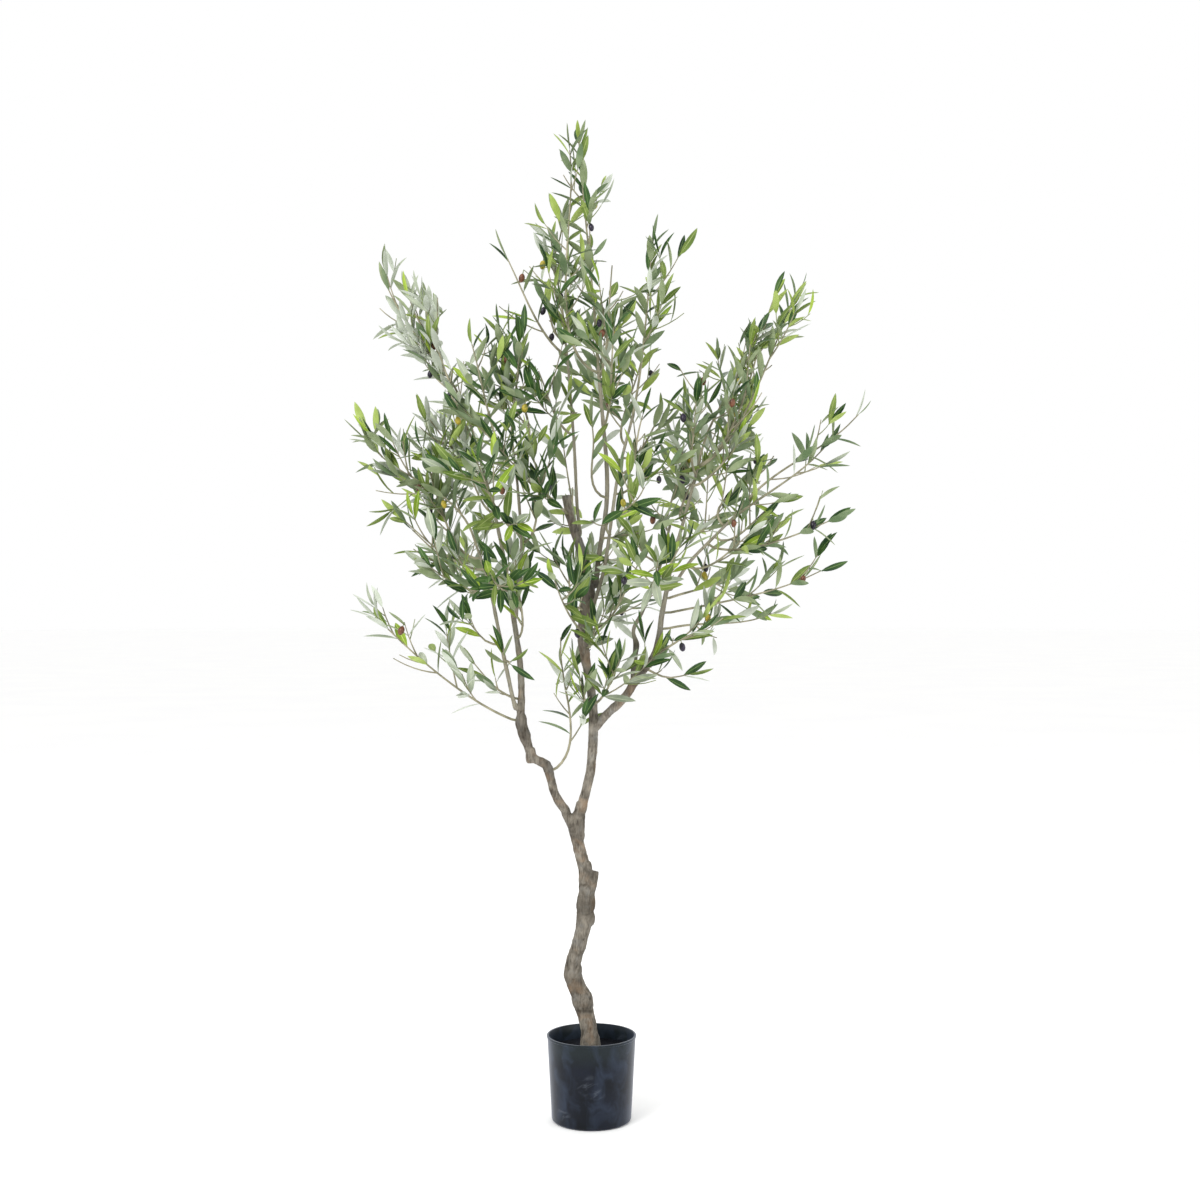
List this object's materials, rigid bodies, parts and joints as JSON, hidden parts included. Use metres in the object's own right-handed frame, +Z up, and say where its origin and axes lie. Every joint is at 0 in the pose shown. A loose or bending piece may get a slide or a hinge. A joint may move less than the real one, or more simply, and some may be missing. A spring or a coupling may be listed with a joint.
{
  "type": "artificial potted olive tree",
  "caption": "Artificial olive tree with a bare forked trunk and an open crown of narrow leaves and olives, standing in a plain black nursery pot.",
  "frame": {"origin": "the middle of the pot's flat underside, at floor level", "axes": "+Z up the tree; -Y towards the side that the picture shows; +X to the right in that view"},
  "size_m": [1.0952, 0.7746, 2.1051],
  "materials": {
    "pot": "satin",
    "fill": "matte",
    "bark": "matte",
    "foliage": "matte"
  },
  "bodies": {
    "root": {"pot": "pot", "pot_fill": "fill", "trunk": "bark", "central_bough": "bark", "left_bough_lower": "bark", "left_bough_upper": "bark", "left_stem": "bark", "right_bough": "bark", "right_inner_bough": "bark", "right_outer_bough": "bark", "leader_stem": "bark", "left_leader_stem": "bark", "right_leader_stem": "bark", "left_high_stem": "bark", "left_mid_stem": "bark", "right_high_stem": "bark", "right_far_stem": "bark", "foliage_leader_top": "foliage", "foliage_leader_mid": "foliage", "foliage_leader_front": "foliage", "foliage_leader_back": "foliage", "foliage_left_leader_top": "foliage", "foliage_left_leader_side": "foliage", "foliage_left_leader_low": "foliage", "foliage_right_leader_top": "foliage", "foliage_right_leader_low": "foliage", "foliage_right_leader_back": "foliage", "foliage_left_high_top": "foliage", "foliage_left_high_side": "foliage", "foliage_left_mid_top": "foliage", "foliage_left_mid_side": "foliage", "foliage_left_side": "foliage", "foliage_left_low_side": "foliage", "foliage_left_low_twig": "foliage", "foliage_left_front": "foliage", "foliage_left_front_low": "foliage", "foliage_left_back": "foliage", "foliage_left_back_low": "foliage", "foliage_centre_front": "foliage", "foliage_centre_low_twig": "foliage", "foliage_centre_right_low": "foliage", "foliage_centre_back": "foliage", "foliage_centre_back_low": "foliage", "foliage_centre_front_low": "foliage", "foliage_right_front": "foliage", "foliage_right_front_low": "foliage", "foliage_right_high_top": "foliage", "foliage_right_high_inner": "foliage", "foliage_right_far": "foliage", "foliage_right_mid": "foliage", "foliage_right_side": "foliage", "foliage_right_low": "foliage", "foliage_right_low_small": "foliage", "foliage_right_bottom": "foliage", "foliage_right_bottom_hang": "foliage", "foliage_right_back": "foliage", "foliage_right_back_low": "foliage", "foliage_right_back_far": "foliage"}
  },
  "joints": []
}
